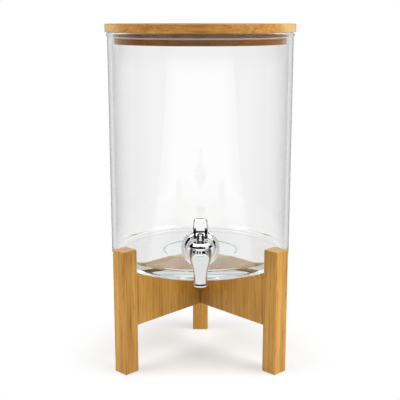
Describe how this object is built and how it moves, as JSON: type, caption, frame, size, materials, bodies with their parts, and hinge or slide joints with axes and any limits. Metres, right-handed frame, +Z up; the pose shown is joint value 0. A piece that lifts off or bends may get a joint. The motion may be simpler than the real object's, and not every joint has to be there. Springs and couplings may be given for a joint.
{
  "type": "glass beverage dispenser",
  "caption": "Glass drink dispenser: a straight clear jar with a plugged bamboo lid and a sprung chrome lever tap, standing on a raised bamboo leg stand.",
  "frame": {"origin": "middle of the footprint's box, on the floor that the feet stand on", "axes": "+Z up, -Y out of the front of the tap, +X to the right seen from the front"},
  "size_m": [0.195, 0.233, 0.3453],
  "materials": {
    "glass": "clear soda glass, polished",
    "bamboo": "laminated honey bamboo, satin oiled",
    "dowel_wood": "plain sanded wood",
    "chrome": "mirror chrome plate",
    "silicone": "translucent food-grade silicone",
    "steel": "turned stainless steel"
  },
  "bodies": {
    "stand": {"front_left_leg": "bamboo", "front_right_leg": "bamboo", "rear_leg": "bamboo", "front_left_arm": "bamboo", "front_right_arm": "bamboo", "rear_arm": "bamboo", "leg_dowels": "dowel_wood", "centre_dowels": "dowel_wood"},
    "jar": {"glass_jar": "glass", "outer_gasket": "silicone", "escutcheon": "chrome", "tap_body": "chrome", "inner_gasket": "silicone", "clamp_washer": "steel", "clamp_nut": "chrome", "bonnet": "chrome", "packing_ring": "silicone", "packing_washer": "steel", "return_spring": "steel"},
    "stem": {"valve_stem": "steel", "stem_head": "chrome", "seat_cup": "silicone", "lever_pin": "steel"},
    "lever": {"lever": "chrome"},
    "lid": {"lid_top": "bamboo", "lid_plug": "bamboo", "lid_seal": "silicone"}
  },
  "joints": [
    {"name": "jar_lift", "type": "slide", "parent": "stand", "child": "jar", "axis": [0, 0, 1], "range_m": [0, 0.06]},
    {"name": "lid_lift", "type": "slide", "parent": "jar", "child": "lid", "axis": [0, 0, 1], "range_m": [0, 0.08]},
    {"name": "stem_lift", "type": "slide", "parent": "jar", "child": "stem", "axis": [0, 0, 1], "range_m": [0, 0.003], "deforming": ["return_spring"]},
    {"name": "lever_pull", "type": "hinge", "parent": "stem", "child": "lever", "pos_m": [0, -0.105, 0.15295], "axis": [1, 0, 0], "range_deg": [0, 75], "stiffness_Nm_per_rad": 0.0061, "springref_deg": -74.48}
  ],
  "couplings": [
    {"joint": "lever_pull", "follows": "stem_lift", "rad_per_m": 436.33}
  ]
}
